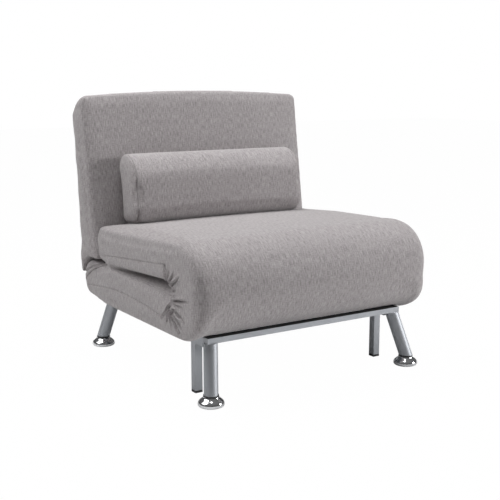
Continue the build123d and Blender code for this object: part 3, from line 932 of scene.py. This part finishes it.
def wrap_base(at):
    """Keeps the foot of the back clear of the base section."""
    run = at[:, 1] - pivot.y
    rise = at[:, 2] - pivot.z
    reach = np.hypot(run, rise)
    clear = foot_radius(np.arctan2(rise, run)) - wrap_slack
    grow = np.where((run >= 0) & (reach < clear), clear / np.maximum(reach, 1e-6), 1)
    at[:, 1] = pivot.y + run * grow
    at[:, 2] = pivot.z + rise * grow
    low = pivot.z + end_radius + wrap_gap - wrap_slack
    at[:, 2] = np.where((run < 0) & (at[:, 2] < low), low, at[:, 2])
    return at


def taper_back(at):
    """Draws the sides of the back in at its top corners and at its foot."""
    rise = np.clip((at[:, 2] - back_high.z + back_taper_height) / back_taper_height, 0, 1)
    fall = np.clip((pivot.z + back_foot_taper_top - at[:, 2]) / back_foot_taper_run, 0, 1)
    at[:, 0] *= 1 - (back_taper * rise ** 1.5 + back_foot_taper * fall) / back_half
    return at


def make_back():
    """Stuffs the back section."""
    piece = new_piece("back_section", loft(back_outline, back_half))
    set_places(piece.data, taper_back(places(piece.data)))
    voxel_skin(piece, back_voxel)
    relax(piece, 2)
    inflate(piece, cushion_swell, held=lambda at: at[:, 2] < pivot.z + end_radius + held_height)
    relax(piece, 2)
    subdivide(piece)
    set_places(piece.data, wrap_base(places(piece.data)))
    return piece


# Bolster pillow

def pillow_outline(x):
    """Section of the bolster: tall round front, round foot, flat back."""
    rim = inset(x, pillow_half, pillow_end_rim)
    deep = pillow_section.x / 2 - pillow_slack - rim
    tall = pillow_section.y / 2 - pillow_slack - rim - pillow_arch * (x / pillow_half) ** 2
    foot = -pillow_section.y / 2 - pillow_sink + inset(x, pillow_half, pillow_foot_rim)
    foot_run, foot_rise = pillow_foot_round
    front_run, front_rise = pillow_front_round
    rear = pillow_rear_round
    heel = pillow_rear_foot_round
    ring = arc((-deep + foot_run, foot + foot_rise), pillow_foot_round, 270, 180, 6)
    ring += between(ring[-1], (-deep, tall - front_rise), 6)
    ring += arc((-deep + front_run, tall - front_rise), pillow_front_round, 180, 90, 12)
    ring += arc((deep - rear, tall - rear), (rear, rear), 90, 0, 8)
    ring += between(ring[-1], (deep, foot + heel), 6)
    return ring + arc((deep - heel, foot + heel), (heel, heel), 0, -90, 5)


def make_pillow():
    """Stuffs the bolster, with its end panels sewn in, and stands it on the seat."""
    piece = new_piece("bolster_pillow", loft(pillow_outline, pillow_half))
    voxel_skin(piece, pillow_voxel)
    relax(piece, 1)
    inflate(piece, cushion_swell)
    relax(piece, 1)
    subdivide(piece)
    ring = pillow_half - end_seam_inset
    depth, width = end_seam_groove
    refine(piece, lambda centre: abs(abs(centre.x) - ring) < end_seam_reach)
    push(piece, lambda at: -depth * np.exp(-((np.abs(at[:, 0]) - ring) / width) ** 2))
    middle = (pillow_low + pillow_high) / 2
    place = Matrix.Translation((0, middle.y - pillow_shift, middle.z))
    piece.data.transform(place @ Matrix.Rotation(-pillow_lean, 4, "X"))
    rest_on(piece, seat_section, (2, -1))
    rest_on(piece, back_section, (1, 1))
    return piece


# The four padded pieces

seat_section, base_section = make_mattress()
back_section = make_back()
rest_on(seat_section, back_section, (1, 1), seat_back_gap)
bolster = make_pillow()
for piece in (seat_section, base_section, back_section, bolster):
    smooth_shading(piece)
    cloth_map(piece)
dress(seat_section, "grey_fabric", "seat", "seat_cover", "seat_foam_upper", "seat_foam_lower")
dress(base_section, "grey_fabric", "base", "base_cover", "base_foam")
dress(back_section, "grey_fabric", "back", "back_cover", "back_foam_front", "back_foam_rear")
dress(bolster, "grey_fabric", "pillow", "pillow_cover", "pillow_filling")


# Black strip on the front rail: painted shade for the dark gap between the rail and the mattress

def make_shade_strip():
    """Thin black strip along the top of the front rail, painted shade for the dark gap under the mattress."""
    top = rail_high.z + shade_strip_thickness
    shape = block((rail_low.x + shade_strip_end_inset, rail_low.y + shade_strip_side_inset, rail_high.z),
                  (rail_high.x - shade_strip_end_inset, rail_high.y - shade_strip_side_inset, top))
    round_edges(shape, edges_at(shape, z=top), shade_strip_round, 2)
    return new_piece("front_rail_shade_strip", shape)


# The black strip is painted shade: it darkens the top of the rail where the mattress hangs over it
shade_strip = make_shade_strip()
dress(shade_strip, "black_cloth", "front_frame")


# Chrome feet

foot_profile = ((0.0, 0.0), (0.88, 0.0), (0.95, 0.05), (0.99, 0.14), (1.0, 0.26), (0.985, 0.38), (0.94, 0.50),
                (0.87, 0.60), (0.79, 0.69), (0.71, 0.78), (0.65, 0.86), (0.61, 0.93), (0.60, 1.0), (0.0, 1.0))


def make_foot(node):
    """Turned bell foot in the place of a node."""
    low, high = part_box(node)
    centre = Vector(((low.x + high.x) / 2, (low.y + high.y) / 2, 0))
    radius = (high.x - low.x) / 2
    shape = bmesh.new()
    spots = [shape.verts.new(centre + Vector((radius * reach, 0, high.z * rise)))
             for reach, rise in foot_profile]
    edges = [shape.edges.new(pair) for pair in zip(spots, spots[1:])]
    bmesh.ops.spin(shape, geom=spots + edges, cent=centre, axis=(0, 0, 1), angle=2 * pi, steps=foot_steps)
    bmesh.ops.remove_doubles(shape, verts=shape.verts, dist=1e-6)
    piece = new_piece(node + "_bell", shape)
    smooth_shading(piece, foot_sharp_angle)
    return piece


for end, body in (("front", "front_frame"), ("rear", "base")):
    for hand in ("left", "right"):
        node = f"{end}_foot_{hand}"
        dress(make_foot(node), "foot_chrome", body, node)

# Finishes of the frame's own pieces
slots = {row["node"]: row["material_slot"] for row in frame["record"]["subparts"]}
for name, piece in frame["nodes"].items():
    piece.data.materials.clear()
    piece.data.materials.append(finishes[slots[name]])


# Floor, light and camera

def make_floor():
    """Wide pale floor."""
    shape = bmesh.new()
    bmesh.ops.create_grid(shape, x_segments=2, y_segments=2, size=floor_size)
    floor = new_piece("floor", shape)
    material, tree, shader = new_material("pale floor")
    shader.inputs["Base Color"].default_value = (0.80, 0.80, 0.80, 1)
    shader.inputs["Roughness"].default_value = 0.9
    path = add_node(tree, "ShaderNodeLightPath")
    glow = add_node(tree, "ShaderNodeEmission", {"Color": (1, 1, 1, 1), "Strength": 1.0})
    share = arithmetic(tree, "MULTIPLY", path.outputs["Is Camera Ray"], 0.99)
    mixed = add_node(tree, "ShaderNodeMixShader",
                     {"Fac": share, 1: shader.outputs["BSDF"], 2: glow.outputs["Emission"]})
    tree.links.new(mixed.outputs["Shader"], tree.nodes["Material Output"].inputs["Surface"])
    floor.data.materials.append(material)


def make_lamp(name, place, target, size, power):
    """Soft square lamp that faces a target."""
    lamp = bpy.data.lights.new(name, "AREA")
    lamp.size = size
    lamp.energy = power
    holder = bpy.data.objects.new(name, lamp)
    holder.location = place
    holder.rotation_euler = (Vector(target) - Vector(place)).to_track_quat("-Z", "Y").to_euler()
    scene.collection.objects.link(holder)


def make_sky(ambient):
    """Even light from all round, on a white background."""
    world = bpy.data.worlds.new("studio")
    world.use_nodes = True
    scene.world = world
    tree = world.node_tree
    path = add_node(tree, "ShaderNodeLightPath")
    seen = arithmetic(tree, "MAXIMUM", path.outputs["Is Camera Ray"], path.outputs["Is Transmission Ray"])
    way = add_node(tree, "ShaderNodeTexCoord").outputs["Generated"]
    height = add_node(tree, "ShaderNodeSeparateXYZ", {"Vector": way})
    shade = add_node(tree, "ShaderNodeMapRange",
                     {"Value": height.outputs["Z"], "From Min": -0.2, "From Max": 0.9,
                      "To Min": 0.3 * ambient, "To Max": 1.7 * ambient})
    level = add_node(tree, "ShaderNodeMapRange",
                     {"Value": seen, "To Min": shade.outputs["Result"], "To Max": 1.0})
    sky = tree.nodes["Background"]
    sky.inputs["Color"].default_value = (1, 1, 1, 1)
    tree.links.new(level.outputs["Result"], sky.inputs["Strength"])


def make_camera():
    """Camera at the photograph's place and angle."""
    camera = bpy.data.cameras.new("camera")
    camera.lens = camera_lens
    camera.sensor_width = camera_sensor
    holder = bpy.data.objects.new("camera", camera)
    holder.location = camera_place
    holder.rotation_euler = (radians(90 - camera_tilt), 0, radians(camera_turn))
    scene.collection.objects.link(holder)
    scene.camera = holder


make_floor()
make_sky(sky_light)
make_lamp("overhead", (-0.3, 0.35, 3.1), (0, 0, 0.4), 2.2, 74)
make_lamp("left", (-2.1, 0.6, 2.5), (0, 0, 0.3), 2.0, 37)
make_lamp("key", (2.9, -2.3, 1.35), (0, 0.1, 0.45), 0.8, 88)
make_camera()
scene.view_settings.view_transform = "Standard"
